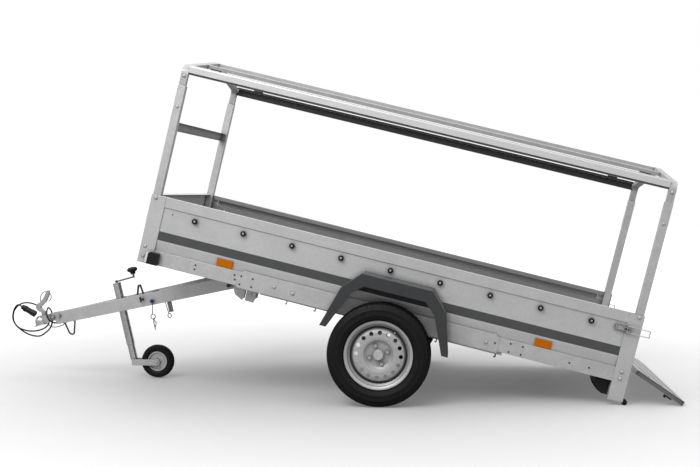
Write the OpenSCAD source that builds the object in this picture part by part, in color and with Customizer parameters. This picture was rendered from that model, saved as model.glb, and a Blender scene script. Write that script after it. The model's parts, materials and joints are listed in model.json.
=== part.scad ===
// Light single-axle tilting cargo trailer with a bare cover frame.
// It stands tipped back: the main wheels, the rear feet, the jockey wheel and the open tailgate
// touch the ground. X runs from the coupling to the tailgate, Y from left to right, Z up.
// The origin is on the ground under the middle of the trailer.

/* [Box] */
// Length of the box over its corner posts
box_l = 2700; // [2680:5:2720]
// Width of the box over its side panels
box_w = 1300; // [1290:2:1310]
// Height of the side panels above the lower edge of the side beams
side_h = 373; // [365:1:380]
// Height of the side beams
beam_h = 77; // [74:1:80]
// Height of the floor's top above the lower edge of the side beams
floor_z = 60; // [60:1:62]
// Thickness of the folded steel sheet
sheet = 1.5; // [1:0.5:2]
// How far the box is tipped back, in degrees
box_tilt = 13.68; // [13.5:0.02:14]

/* [Cover frame] */
// Height of the top of the side rails above the lower edge of the side beams
rail_top = 1095; // [1050:5:1150]
// How much higher the ridge is than the side rails
ridge_rise = 85; // [60:5:110]
// Width of the uprights along the box
upright_w = 42; // [38:1:44]

/* [Wheels] */
// Distance of the axle from the front of the box
axle_x = 1401; // [1390:1:1410]
// Depth of the wheel centres below the side beams
axle_drop = 149.5; // [145:0.5:155]
// Outer diameter of the tyres
tyre_d = 547; // [540:1:550]
// Width of the tyres
tyre_w = 155; // [145:1:160]
// Distance of each tyre's middle from the trailer's middle
half_track = 765; // [762:1:768]

/* [Drawbar] */
// How steeply the drawbar climbs towards the box, in degrees
drawbar_slope = 12.64; // [12:0.02:13]
// Distance of the drawbar's pivot from the front of the box
pivot_x = 491; // [485:1:495]
// Height of the drawbar's pivot above the lower edge of the side beams
pivot_z = -30; // [-32:1:-29]
// Height of the drawbar's box-section legs
leg_h = 72; // [68:1:74]
// Width of the legs
leg_w = 40; // [36:1:44]
// Angle between each leg and the trailer's middle line, in degrees
leg_splay = 20.92; // [20:0.02:21.5]

/* [Tailgate] */
// Length of the tailgate from its hinge to its top edge
gate_l = 313; // [305:1:320]
// Thickness of the tailgate
gate_t = 26; // [22:1:28]

/* [Hidden] */
$fn = 48;

half_w = box_w / 2;
tyre_r = tyre_d / 2;
skin = 2;                       // plate thickness of posts, beams and axle plates
post_w = 80;                    // width of the corner posts
rear_drop = 100;                // how far the rear posts reach below the side beams
rim_z = side_h - 56;            // lower edge of the folded rim
rim_d = 28;                     // width of the rim's top
fold_z = 128;                   // height at which the panel folds inwards below its stripe
fold_in = 5;                    // how far it leans in down to the side beam
floor_t = 9;
beam_d = 40;                    // depth of the side beams' flanges
cross_t = 30;                   // height of the cross members
upright_d = 40;                 // depth of the uprights across the box
joint_z = 977;                  // height at which the hoops leave the uprights
hoop_t = 25;                    // thickness of the hoops
mid_rail_z = 730;               // height of the front middle rail
rail_h = 52;                    // height of the side rails
lip_h = 10;                     // height of their set-back lower lip
stem_r = 24;                    // outer radius of the jockey wheel's outer tube
stem_x = -783;                  // place of the jockey wheel's tube on the drawbar
jockey_r = 100;
foot_r = 15;
foot_x = box_l + 11;
leg_low = -23.4;                // lower edge of the legs, square to the drawbar
hinge_x = box_l + 17;           // the tailgate's hinge
hinge_z = 82;

// a point of the tipped box, as a place on the ground plan and a height
function tip_x(x, z) = (x - axle_x) * cos(box_tilt) + (z + axle_drop) * sin(box_tilt);
function tip_z(x, z) = (axle_x - x) * sin(box_tilt) + (z + axle_drop) * cos(box_tilt) + tyre_r;

foot_z = (foot_r - tyre_r + (foot_x - axle_x) * sin(box_tilt)) / cos(box_tilt) - axle_drop;
gate_angle = asin((tip_z(hinge_x, hinge_z) - gate_t / 2 * cos(35)) / gate_l);
front_x = tip_x(pivot_x, pivot_z) - 1342 * cos(drawbar_slope) - 30 * sin(drawbar_slope);
rear_x = tip_x(hinge_x, hinge_z) + gate_l * cos(gate_angle) + gate_t / 2 * sin(gate_angle);
shift_x = -(front_x + rear_x) / 2;

// a point of the drawbar, as a place on the ground plan and a height
function bar_x(x, z) = tip_x(pivot_x, pivot_z) + x * cos(drawbar_slope) - z * sin(drawbar_slope);
function bar_z(x, z) = tip_z(pivot_x, pivot_z) + x * sin(drawbar_slope) + z * cos(drawbar_slope);

// ---- placing ----

module in_box()
    translate([shift_x, 0, tyre_r]) rotate([0, box_tilt, 0]) translate([-axle_x, 0, axle_drop]) children();

module in_drawbar()
    translate([shift_x + bar_x(0, 0), 0, bar_z(0, 0)]) rotate([0, -drawbar_slope, 0]) children();

module in_gate()
    translate([shift_x + tip_x(hinge_x, hinge_z), 0, tip_z(hinge_x, hinge_z)])
        rotate([0, gate_angle, 0]) children();

module both_sides() {
    children();
    mirror([0, 1, 0]) children();
}

module on_side(side) {
    if (side == "left") children();
    else mirror([0, 1, 0]) children();
}

// an outline in Y and Z, drawn out along X
module along_x(from, to) translate([from, 0, 0]) rotate([90, 0, 90]) linear_extrude(to - from) children();

// an outline in X and Z, drawn out along Y
module along_y(from, to) translate([0, to, 0]) rotate([90, 0, 0]) linear_extrude(to - from) children();

// a block between two corners
module block(low, high) translate(low) cube(high - low);

// a round bar along Y between two places
module bar_y(x, z, r, from, to) translate([x, to, z]) rotate([90, 0, 0]) cylinder(r = r, h = to - from);

// ---- box ----

module side_panel_outline() {
    out = -half_w;
    lip = side_h - 25;
    face = out + sheet;
    brow = out - 3;
    polygon([
        [face + fold_in, beam_h], [face, fold_z], [face, rim_z], [brow, rim_z], [brow, side_h],
        [out + rim_d, side_h], [out + rim_d, lip], [out + rim_d - sheet, lip],
        [out + rim_d - sheet, side_h - sheet], [brow + sheet, side_h - sheet],
        [brow + sheet, rim_z + sheet], [face + sheet, rim_z + sheet], [face + sheet, fold_z],
        [face + fold_in + sheet, beam_h]
    ]);
}

module side_panels() color("silver") in_box() both_sides() difference() {
    along_x(48, box_l - 48) side_panel_outline();
    bar_y(132, 288, 4, -half_w - 5, -half_w + 10);
    for (x = [47, box_l - post_w - 1])
        block([x, -half_w - 4, rim_z - 1], [x + post_w - 46, -half_w, side_h + 1]);
}

module front_panel() color("silver") in_box() {
    difference() {
        block([0, -606, 24], [rim_d, 606, side_h]);
        block([sheet, -607, 20], [rim_d + 1, 607, side_h - sheet]);
    }
}

module corner_posts() color("gainsboro") in_box() both_sides() {
    out = -half_w - skin;
    block([-skin, out, -3], [post_w, -half_w, side_h]);
    block([-skin, -half_w, -3], [0, -570, side_h]);
    rear = box_l - post_w;
    block([rear, out, -rear_drop], [box_l + skin, -half_w, side_h - 2]);
    block([box_l, -half_w, -rear_drop], [box_l + skin, -606, side_h - 2]);
    block([rear, -half_w, -rear_drop], [rear + skin, -606, -skin]);
    block([rear + skin, -half_w, -rear_drop], [box_l, -606, -rear_drop + skin]);
}

module floor_panel() color("dimgray") in_box()
    block([6, -606, floor_z - floor_t], [box_l - 6, 606, floor_z]);

module side_beams() color("silver") in_box() both_sides() {
    out = -half_w;
    along_x(skin, box_l - skin) polygon([
        [out, 0], [out, beam_h], [out + beam_d, beam_h], [out + beam_d, beam_h - skin],
        [out + skin, beam_h - skin], [out + skin, skin], [out + beam_d, skin], [out + beam_d, 0]
    ]);
    along_x(692, 2029) polygon([
        [out + 12, 0], [out + 12, -17], [out + 42, -17], [out + 42, -15], [out + 14, -15], [out + 14, 0]
    ]);
}

module cross_member(x) {
    reach = half_w - skin;
    high = floor_z - floor_t;
    low = high - cross_t;
    difference() {
        block([x - 20, -reach, low], [x + 20, reach, high]);
        block([x - 18, -reach - 1, low + 2], [x + 18, reach + 1, high - 2]);
    }
}

module cross_members() color("silver") in_box() {
    for (x = [317, 545, 980, 1640, 2094, 2436]) cross_member(x);
    difference() {
        block([2, -606, 24], [36, 606, 51]);
        block([4, -607, 26], [34, 607, 49]);
    }
    block([box_l - 5, -604, -20], [box_l - skin, 604, 78]);
}

module axle_plates() color("silver") in_box() both_sides()
    along_y(-half_w - skin, -half_w) polygon([
        [562, -9], [562, 72], [586, 88], [1976, 88], [2000, 72], [2000, -9]
    ]);

// ---- axle and wheels ----

arm_x = 1259;                   // the torsion axle's tube
arm_z = -47;

module axle_tube() color("silver") in_box() difference() {
    block([arm_x - 30, -640, arm_z - 30], [arm_x + 30, 640, arm_z + 30]);
    bar_y(arm_x, arm_z, 25, -641, 641);
}

module swing_arm() {
    reach = [axle_x - arm_x, -axle_drop - arm_z];
    in_box() {
        along_y(-682, -656) translate([arm_x, arm_z]) rotate(atan2(reach[1], reach[0]))
            translate([-28, -28]) square([norm(reach) + 52, 56]);
        bar_y(arm_x, arm_z, 24.95, -656, -480);
        bar_y(axle_x, -axle_drop, 15, -776, -682);
    }
}

module swing_arm_left() color("darkgray") swing_arm();
module swing_arm_right() color("darkgray") mirror([0, 1, 0]) swing_arm();

module at_wheel(side) translate([shift_x, 0, tyre_r]) on_side(side) translate([0, -half_track, 0]) children();

bolt_angles = [72 : 90 : 342];

module hub(side) at_wheel(side) {
    difference() {
        union() {
            bar_y(0, 0, 38, -12, 62);
            bar_y(0, 0, 68, -31, -18);
            bar_y(0, 0, 29, -40, -12);
        }
        bar_y(0, 0, 15.05, -12, 63);
        for (a = bolt_angles) rotate([0, a, 0]) bar_y(50, 0, 6.5, -32, -17);
    }
    difference() {
        bar_y(0, 0, 25, -58, -40);
        bar_y(0, 0, 22, -56, -39);
    }
}

module hub_left() color("silver") hub("left");
module hub_right() color("silver") hub("right");

// outline of the wheel's disc and rim: radius and distance outwards from the rim's middle
module rim_outline() {
    t = 3;
    outer = [
        [30, 34], [62, 34], [72, 40], [80, 48], [92, 50], [118, 49], [134, 44], [142, 34], [147, 22],
        [150, 22], [152, 34], [163, 42], [165, 56], [172, 60], [180, 62], [182, 60], [181, 57], [174, 56],
        [169, 52], [166, 40], [155, 30], [153, -8], [165, -30], [166, -50], [170, -54], [181, -57],
        [182, -60], [180, -62], [172, -60], [162, -55], [161, -30], [149, -9]
    ];
    inner = [
        [145, 10], [144, 20], [139, 32], [132, 41], [117, 46], [92, 47], [83, 45], [75, 37], [64, 34 - t],
        [30, 34 - t]
    ];
    polygon(concat(outer, inner));
}

module wheel_rim(side) at_wheel(side) difference() {
    rotate([90, 0, 0]) rotate_extrude($fn = 96) rim_outline();
    for (i = [0 : 15]) rotate([0, i * 22.5 + 4, 0]) bar_y(117.5, 0, 11, -60, -30);
    for (a = bolt_angles) rotate([0, a, 0]) bar_y(50, 0, 6.5, -40, -20);
}

module wheel_rim_left() color("lightgray") wheel_rim("left");
module wheel_rim_right() color("lightgray") wheel_rim("right");

// half of the tyre's outline, from the bead to the middle of the tread
function tyre_side(r, w) = [
    [169.5, 34], [169.5, 50], [174, 53.5], [182.5, 55], [184.5, 60], [187, w - 15],
    for (a = [-60 : 15 : 45]) [r - 56 + 34 * sin(a), w - 14 + 14 * cos(a)],
    [r - 17, w - 6], [r - 7, w - 12], [r - 3, w - 18], [r - 1.5, w - 26]
];
function groove(r, y) = [[r, y + 5], [r - 7, y + 4], [r - 7, y - 4], [r, y - 5]];
function flip(p) = [for (i = [len(p) - 1 : -1 : 0]) [p[i][0], -p[i][1]]];

module tyre(side) at_wheel(side) {
    r = tyre_r;
    w = tyre_w / 2;
    half = concat(tyre_side(r, w), groove(r - 0.5, 33), groove(r, 11));
    inside = [[190, -w + 30], [222, -w + 12], [r - 24, -w + 14], [r - 14, -w + 30]];
    rotate([90, 0, 0]) rotate_extrude($fn = 96) polygon(concat(half, flip(half), inside, flip(inside)));
}

module tyre_left() color("#222222") tyre("left");
module tyre_right() color("#222222") tyre("right");

module wheel_bolts(side) at_wheel(side) {
    for (a = bolt_angles) rotate([0, a, 0]) {
        translate([50, -44, 0]) rotate([-90, 0, 0]) cylinder(r = 9.5, h = 10, $fn = 6);
        bar_y(50, 0, 6.4, -34, -14);
    }
    rotate([0, -54, 0]) bar_y(146, 0, 4, -58, -34);
}

module wheel_bolts_left() color("lightgray") wheel_bolts("left");
module wheel_bolts_right() color("lightgray") wheel_bolts("right");

guard_x = 1409;                 // middle of the mudguards
guard_low = -67;

// outer edge of a mudguard's side, from the front bottom over the top to the rear bottom
function guard_edge(inset) = [
    [-343 + inset * 0.96, guard_low], [-279 + inset * 0.9, 150 - inset * 0.3],
    [-188 + inset * 0.4, 247 - inset], [188 - inset * 0.4, 247 - inset],
    [279 - inset * 0.9, 150 - inset * 0.3], [343 - inset * 0.96, guard_low]
];
// inner edge of its outer cheek, which narrows towards both ends
cheek_edge = [[308, guard_low], [222, 132], [163, 183], [-163, 183], [-222, 132], [-308, guard_low]];
function backwards(p) = [for (i = [len(p) - 1 : -1 : 0]) p[i]];

module guard_band(depth) polygon(concat(guard_edge(0), backwards(guard_edge(depth))));

module mudguards() color("#404040") in_box() both_sides() translate([guard_x, 0, 0]) {
    along_y(-850, -half_w - skin) guard_band(4);
    along_y(-half_w - skin, -half_w + sheet) intersection() {
        guard_band(4);
        translate([-400, 88]) square([800, 200]);
    }
    along_y(-850, -846) polygon(concat(guard_edge(0), cheek_edge));
}

// ---- cover frame ----

module hollow_bar(low, high, wall) difference() {
    block(low, high);
    block(low + [wall, wall, -1], high - [wall, wall, -1]);
}

module cover_uprights() color("gainsboro") in_box() both_sides()
    for (x = [3, box_l - 3 - upright_w])
        hollow_bar([x, -half_w + 2, beam_h + 1], [x + upright_w, -half_w + 2 + upright_d, joint_z], 2);

// the hoop's outline across the box: legs, rounded shoulders and a low gable
module hoop_outline() {
    out = half_w - 4;
    shoulder = 50;
    top = rail_top - 2;
    bend = shoulder - hoop_t;
    left = [
        [-out, joint_z - 60], [-out, top - shoulder],
        for (a = [180 : -15 : 105]) [-out + shoulder + shoulder * cos(a), top - shoulder + shoulder * sin(a)],
        [0, top + ridge_rise]
    ];
    inner = [
        [0, top + ridge_rise - hoop_t],
        for (a = [105 : 15 : 180]) [-out + shoulder + bend * cos(a), top - shoulder + bend * sin(a)],
        [-out + hoop_t, joint_z - 60]
    ];
    half = concat(left, inner);
    polygon(half);
    mirror([1, 0]) polygon(half);
}

module cover_hoops() color("gainsboro") in_box() {
    along_x(5, 1 + upright_w) hoop_outline();
    along_x(box_l - 1 - upright_w, box_l - 5) hoop_outline();
}

rail_from = upright_w + 1;
rail_to = box_l - upright_w - 1;

module side_rails() color("white") in_box() both_sides()
    along_x(rail_from, rail_to) difference() {
        out = -half_w + 4;
        union() {
            translate([out, rail_top - rail_h + lip_h]) square([30, rail_h - lip_h - 12]);
            translate([out + 12, rail_top - 12]) square([18, 12]);
            translate([out + 12, rail_top - 12]) circle(r = 12);
            translate([out + 8, rail_top - rail_h]) square([22, lip_h]);
        }
        translate([out + 2, rail_top - rail_h + lip_h + 2]) square([30, rail_h - lip_h - 14]);
    }

// height of the underside of the gable's rails at a distance from the middle
function gable_z(y) = rail_top - 2 + ridge_rise * (1 - abs(y) / (half_w - 54)) - hoop_t;

module roof_rails() color("silver") in_box() {
    for (y = [-250, 250]) translate([0, y, gable_z(y) + 4]) rotate([y < 0 ? 8 : -8, 0, 0])
        hollow_bar_x(rail_from, rail_to, 36, 20);
    translate([0, 0, gable_z(0)]) hollow_bar_x(rail_from, rail_to, 40, 22);
    difference() {
        block([8, -606.5, mid_rail_z], [36, 606.5, mid_rail_z + 50]);
        block([10, -607, mid_rail_z + 2], [37, 607, mid_rail_z + 48]);
    }
}

module hollow_bar_x(from, to, w, h) difference() {
    block([from, -w / 2, 0], [to, w / 2, h]);
    block([from - 1, -w / 2 + 2, 2], [to + 1, w / 2 - 2, h - 2]);
}

// ---- fittings on the box ----

knob_pitch = 272;

module cover_fittings() color("#222222") in_box() both_sides() {
    for (i = [0 : 8]) translate([262 + knob_pitch * i, -half_w + sheet, 282]) rotate([90, 0, 0])
        rotate_extrude() polygon([
            [0, 0], [8, 0], [8, 8], [14, 10], [15.5, 13], [15, 17], [12, 19], [8, 19.5], [6, 17], [0, 17]
        ]);
    for (x = [150, box_l - 210]) block([x, -half_w + 17, rail_top], [x + 60, -half_w + 33, rail_top + 6]);
}

module side_reflectors() color("orange") in_box() both_sides()
    for (x = [426, 2180]) translate([x, -half_w + sheet, fold_z])
        rotate([atan(fold_in / (fold_z - beam_h)), 0, 0]) block([0, -6, -45], [90, 0, -5]);

lamp_side = [[2540, -12], [2546, -45], [2562, -72], [2590, -85], [2640, -85], [2640, -12]];

module lamp_housings() color("#222222") in_box() both_sides() {
    difference() {
        block([56, -680, 0], [115, -half_w - skin, 66]);
        translate([56, -680, 66]) rotate([0, 45, 0]) cube([14, 80, 14], center = true);
    }
    along_y(-598, -378) difference() {
        polygon(lamp_side);
        polygon([[2548, -20], [2553, -44], [2567, -66], [2592, -78], [2632, -78], [2632, -20]]);
    }
    along_y(-601, -598) polygon(lamp_side);
    block([2548, -594, -12], [2640, -560, 0]);
}

module front_lamp_lenses() color("white") in_box() both_sides() {
    block([44, -676, 6], [56, -half_w - skin, 60]);
}

module rear_lamp_lenses() color("red") in_box() both_sides()
    block([2640, -596, -83], [2650, -380, -14]);

module rear_feet() color("#222222") in_box() both_sides() along_y(-648, -610) difference() {
    union() {
        translate([foot_x, foot_z]) circle(r = foot_r);
        translate([box_l + skin, foot_z]) square([foot_x - box_l - skin, foot_r]);
    }
    translate([box_l + skin - 20, -rear_drop]) square([20, 60]);
}

latch_z = 284;

latch_y = -half_w - skin - 11;  // the latch lever's pin
latch_x = 2640;
loop_at = [latch_x - 12, latch_y - 6.5];

module latch_bases() color("white") in_box() both_sides() {
    plate = -half_w - skin;
    block([2562, plate - 3, latch_z - 16], [2652, plate, latch_z + 16]);
    for (z = [latch_z - 14, latch_z + 11])
        block([latch_x - 6, plate - 17, z], [latch_x + 6, plate - 3, z + 3]);
    translate([latch_x, latch_y, latch_z - 14]) cylinder(r = 3, h = 28);
}

// the toggle lever, lying against the post
module latch_lever() in_box() difference() {
    union() {
        block([2566, latch_y - 5, latch_z - 10], [2612, latch_y - 2, latch_z + 10]);
        block([2566, latch_y - 13, latch_z - 10], [2570, latch_y - 2, latch_z + 10]);
        for (z = [latch_z - 10, latch_z + 7]) translate([latch_x, latch_y, z]) {
            linear_extrude(3) polygon([[-36, -10], [-9, -10], [0, -7], [0, 7], [-9, 4], [-36, 4]]);
            cylinder(r = 7, h = 3);
        }
    }
    translate([latch_x, latch_y, latch_z - 20]) cylinder(r = 3.08, h = 40);
    translate([loop_at[0], loop_at[1], latch_z - 20]) cylinder(r = 2.58, h = 40);
}

// the wire loop that hooks over the tailgate's keeper
module latch_loop() in_box() {
    translate([loop_at[0], loop_at[1], latch_z - 19.5]) cylinder(r = 2.5, h = 39);
    for (z = [-17, 17]) translate([loop_at[0], loop_at[1], latch_z + z])
        rotate([0, 90, 0]) cylinder(r = 2.4, h = 118);
    translate([loop_at[0] + 118, loop_at[1], latch_z - 19.5]) cylinder(r = 2.5, h = 39);
}

module latch_lever_left() color("white") latch_lever();
module latch_lever_right() color("white") mirror([0, 1, 0]) latch_lever();
module latch_loop_left() color("white") latch_loop();
module latch_loop_right() color("white") mirror([0, 1, 0]) latch_loop();

// a dome-headed bolt standing on a face at y, on the left side
module bolt_head(x, y, z, r) translate([x, y, z]) rotate([90, 0, 0])
    rotate_extrude() polygon([[0, 0], [r, 0], [r, r * 0.3], [r * 0.7, r * 0.62], [0, r * 0.7]]);

module frame_bolts() color("white") in_box() both_sides() {
    plate = -half_w - skin;
    upright = -half_w + 2;
    for (p = [[24, 87], [24, 35], [2659, 57], [2659, 19]]) bolt_head(p[0], plate, p[1], 9);
    for (p = [[23, 356], [2676, 356], [763, 42], [868, 31], [1934, 34]]) bolt_head(p[0], plate, p[1], 9);
    for (x = [24, box_l - 24]) for (z = [862, 1030])
        bolt_head(x, z > joint_z ? -half_w + 4 : upright, z, 8);
    for (x = [845, 1005, 1676, 1998]) translate([x, -half_w + 24, -17]) {
        translate([0, 0, -16]) cylinder(r = 3.5, h = 16);
        translate([3.5, 0, -16]) rotate([0, -90, 0]) cylinder(r = 3.5, h = 12);
    }
    for (p = [[317, 53], [317, 30], [538, 53], [545, 30]]) bolt_head(p[0], -half_w, p[1], 4.5);
    for (p = [[575, 56], [575, 11], [640, 56], [641, 12], [1980, 42]]) bolt_head(p[0], plate, p[1], 4.5);
    for (p = [[2061, 58], [2061, 13], [2127, 58], [2126, 14], [2383, 36], [2488, 36]])
        bolt_head(p[0], -half_w, p[1], 4.5);
}

// ---- drawbar pivot ----

ear_y = 434;                    // inner face of the pivot's ears

module pivot_brackets() color("silver") in_box() both_sides() {
    difference() {
        along_y(-ear_y, -ear_y + 6)
            polygon([[472, -48], [472, -20], [520, 21], [560, 21], [560, -10], [510, -48]]);
        bar_y(pivot_x, pivot_z, 8.05, -ear_y - 1, -ear_y + 8);
    }
    block([520, -ear_y, 16], [560, -ear_y + 30, 21]);
    along_y(-556, -553) polygon([
        [534, 21], [534, -37], [547, -61], [592, -84], [597, -70], [597, 0], [565, 0], [565, 21]
    ]);
    block([588, -553, -76], [591, -475, -3]);
    along_y(-545, -542) polygon([[605, -3], [605, -82], [654, -84], [660, -60], [660, -3]]);
    block([657, -542, -60], [660, -470, -3]);
    bar_y(630, -45, 8, -549, -536);
    block([534, -553, -3], [660, -470, 0]);
}

module pivot_bolts() color("#333333") in_box() both_sides() {
    bar_y(pivot_x, pivot_z, 8, -502, -ear_y + 6);
    translate([pivot_x, -502, pivot_z]) rotate([90, 0, 0]) cylinder(r = 11, h = 7, $fn = 6);
    translate([pivot_x, -ear_y + 14, pivot_z]) rotate([90, 0, 0]) cylinder(r = 11, h = 8, $fn = 6);
}

// ---- tailgate ----

module gate_hinges() color("silver") in_box() {
    for (y = [-420, 0, 420]) {
        difference() {
            union() {
                block([box_l, y - 14, hinge_z - 12], [hinge_x, y + 14, hinge_z - 5]);
                block([box_l - skin, y - 14, hinge_z - 40], [box_l, y + 14, hinge_z - 5]);
                bar_y(hinge_x, hinge_z, 9, y - 14, y + 14);
            }
            bar_y(hinge_x, hinge_z, 5, y - 15, y + 15);
        }
        bar_y(hinge_x, hinge_z, 5, y - 34, y + 34);
    }
}

gate_in = 24;                   // how far the tailgate's side walls are set back from its edges

module tailgate() color("silver") in_gate() {
    block([14, -half_w + 2, -gate_t / 2], [gate_l, half_w - 2, -gate_t / 2 + sheet]);
    block([14, -half_w + 2, gate_t / 2 - sheet], [gate_l, half_w - 2, gate_t / 2]);
    for (y = [-half_w + gate_in, half_w - gate_in - sheet])
        block([14, y, -gate_t / 2], [gate_l, y + sheet, gate_t / 2]);
    for (x = [14, gate_l - sheet]) block([x, -half_w + 2, -gate_t / 2], [x + sheet, half_w - 2, gate_t / 2]);
    for (x = [90, 170, 250]) block([x, -half_w + 50, gate_t / 2], [x + 14, half_w - 50, gate_t / 2 + 3]);
    for (y = [-420, 0, 420]) for (s = [-1, 1]) difference() {
        union() {
            block([0, y + s * 25 - 9, -6], [14, y + s * 25 + 9, 6]);
            bar_y(0, 0, 9, y + s * 25 - 9, y + s * 25 + 9);
        }
        bar_y(0, 0, 5.08, y - 40, y + 40);
    }
}

module gate_keepers() color("#222222") in_gate() both_sides() {
    block([208, -half_w + 4, -gate_t / 2 - 8], [248, -half_w + 34, -gate_t / 2]);
    block([208, -half_w + 4, -gate_t / 2 - 16], [216, -half_w + 34, -gate_t / 2 - 8]);
}

// ---- drawbar ----

module leg(inset, from) rotate([0, 0, -leg_splay]) translate([0, leg_out * cos(leg_splay), 0])
    block([from, inset, leg_low + inset], [260, leg_w - inset, leg_low + leg_h - inset]);

leg_out = -487;                 // the legs' outer face beside the pivot
nose_holes = [[-1206, 30.3], [-1162, 47]];

// the legs' outer and inner faces at a place along the drawbar
function leg_face(x) = leg_out - x * tan(leg_splay);
function leg_inner(x) = leg_face(x) + leg_w / cos(leg_splay);

// a place on the outer face of the left leg, facing outwards
module on_leg(x, z) translate([x, leg_face(x), z]) rotate([0, 0, -leg_splay]) children();

module drawbar_leg() difference() {
    leg(0, -1290);
    leg(3, -1300);
    along_y(-700, -300) difference() {
        translate([0, -200]) square([500, 400]);
        circle(r = 50);
    }
    along_y(-100, 100) polygon([[-1400, -100], [-1180, -100], [-1190, -25], [-1222, 60], [-1400, 60]]);
    block([-1300, -24, -100], [-1000, 400, 100]);
    bar_y(0, 0, 8.08, -560, -380);
    bar_y(-503, 0, 6.05, -360, -200);
    for (h = nose_holes) bar_y(h[0], 26, 6.5, -60, 0);
}

module drawbar_legs() color("silver") in_drawbar() both_sides() drawbar_leg();

// a flat plate between the legs
module tie_plate(from, to, low, high) translate([0, 0, low]) linear_extrude(high - low) polygon([
    [from, leg_inner(from)], [to, leg_inner(to)], [to, -leg_inner(to)], [from, -leg_inner(from)]
]);

module drawbar_crossbars() color("silver") in_drawbar() {
    block([-1166, -24, leg_low], [-1040, 24, leg_low + 4]);
    tie_plate(-850, -846, leg_low, leg_low + leg_h - 8);
    tie_plate(-650, -600, leg_low + leg_h - 9, leg_low + leg_h - 5);
    on_leg(-400, leg_low) block([-15, 4, -60], [15, 8, 0]);
}

ball_x = -1300;                 // centre of the hitch ball
ball_z = -2;

handle_x = -1272;               // the coupling handle's pin
handle_z = 34;

module coupling_body() color("white") in_drawbar() {
    difference() {
        union() {
            translate([ball_x, 0, -8]) cylinder(r = 34, h = 24);
            translate([ball_x, 0, 16]) sphere(r = 34);
            along_y(-23.6, 23.6) polygon([
                [-1300, -2], [-1160, 4], [-1120, 10], [-1120, 40], [-1180, 52], [-1300, 44]
            ]);
            block([-1342, -14, -10], [-1300, 14, -4]);
        }
        translate([ball_x, 0, ball_z - 30]) cylinder(r = 25.2, h = 30);
        translate([ball_x, 0, ball_z]) sphere(r = 25.2);
        block([-1258, -20, -30], [-1124, 20, 36]);
        block([-1290, -13.5, 25.5], [-1222, 13.5, 70]);
        for (h = nose_holes) bar_y(h[0], 26, 6.5, -60, 60);
    }
    bar_y(handle_x, handle_z, 5, -16, 16);
}

module coupling_bolts() color("silver") in_drawbar() for (h = nose_holes) {
    bar_y(h[0], 26, 6, -h[1], h[1]);
    both_sides() translate([h[0], -h[1], 26]) rotate([90, 0, 0]) cylinder(r = 11, h = 9, $fn = 6);
    both_sides() bar_y(h[0], 26, 6, -h[1] - 15, -h[1] - 9);
}

module coupling_handle() color("gainsboro") in_drawbar() along_y(-13, 13) difference() {
    polygon([
        [-1276, 27], [-1280, 32], [-1282, 66], [-1300, 82], [-1308, 104], [-1300, 122], [-1268, 132],
        [-1240, 158], [-1218, 190], [-1204, 186], [-1214, 158], [-1240, 124], [-1268, 106], [-1280, 100],
        [-1260, 70], [-1264, 32], [-1268, 27]
    ]);
    translate([handle_x, handle_z]) circle(r = 5.08);
}

// route of the bent rod under the drawbar's nose
stand_route = [
    [-1155, 0, leg_low - 3], [-1153, 0, leg_low - 14], [-1144, 0, -80], [-1138, 0, -96],
    [-1128, 0, -103], [-1118, 0, -103], [-1111, 0, -95], [-1107, 0, -80],
    [-1094, 0, leg_low - 14], [-1092, 0, leg_low - 3]
];

module v_stand() color("dimgray") in_drawbar() {
    tube(smooth(stand_route, 2), 5, 12);
    block([-1164, -12, leg_low - 4], [-1144, 12, leg_low]);
    block([-1102, -12, leg_low - 4], [-1082, 12, leg_low]);
}

// a round rod from one point to another
module rod(from, to, r) {
    d = to - from;
    translate(from) rotate([0, acos(d[2] / norm(d)), atan2(d[1], d[0])]) cylinder(r = r, h = norm(d));
}

module lock_fittings() color("dimgray") in_drawbar() {
    low = leg_low + leg_h - 5;
    rod([-644, -100, low], [-624, -100, 100], 6);
    rod([-606, -100, low], [-612, -100, 100], 6);
    rod([-624, -100, 100], [-612, -100, 100], 6);
    translate([-624, -100, 100]) sphere(r = 6);
    translate([-612, -100, 100]) sphere(r = 6);
    bar_y(-503, 0, 6, leg_face(-503) - 26, leg_inner(-503) + 12);
    on_leg(-562, 22) {
        rotate([90, 0, 0]) cylinder(r = 7, h = 24);
        translate([0, -24, -16]) cylinder(r = 5, h = 32);
    }
}

module jockey_clamp() color("gainsboro") in_drawbar() {
    difference() {
        union() {
            translate([stem_x, 0, 4]) cylinder(r = 31, h = 36);
            block([-846, -12, 4], [stem_x, 12, 40]);
            block([stem_x - 12, 24, 8], [stem_x + 12, 62, 36]);
        }
        translate([stem_x, 0, 3]) cylinder(r = stem_r + 0.04, h = 46);
    }
    bar_y(stem_x, 22, 7, 62, 100);
    translate([stem_x, 94, -10]) cylinder(r = 4, h = 64);
}

stem_top = 137;

module jockey_outer_tube() color("gainsboro") in_drawbar() difference() {
    union() {
        translate([stem_x, 0, -239]) cylinder(r = stem_r, h = stem_top + 239);
        translate([stem_x, 0, stem_top]) cylinder(r = stem_r + 1, h = 6);
    }
    translate([stem_x, 0, -240]) cylinder(r = 21.5, h = stem_top + 236);
    translate([stem_x, 0, stem_top - 10]) cylinder(r = 8.08, h = 20);
    block([stem_x - 30, -10, -250], [stem_x, 10, -225]);
}

crank_z = stem_top + 14;

module jockey_crank() color("silver") in_drawbar() translate([stem_x, 0, 0]) {
    translate([0, 0, -140]) cylinder(r = 8, h = crank_z + 148);
    rod([0, 0, crank_z], [112, 0, crank_z + 6], 5);
    translate([112, 0, crank_z]) cylinder(r = 6, h = 52);
}

module jockey_knob() color("#222222") in_drawbar() translate([stem_x + 112, 0, crank_z + 22])
    rotate_extrude() polygon([
        [6.05, 0], [14, 0], [16, 12], [30, 22], [32, 32], [22, 42], [0, 45], [0, 32], [6.05, 32]
    ]);

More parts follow.
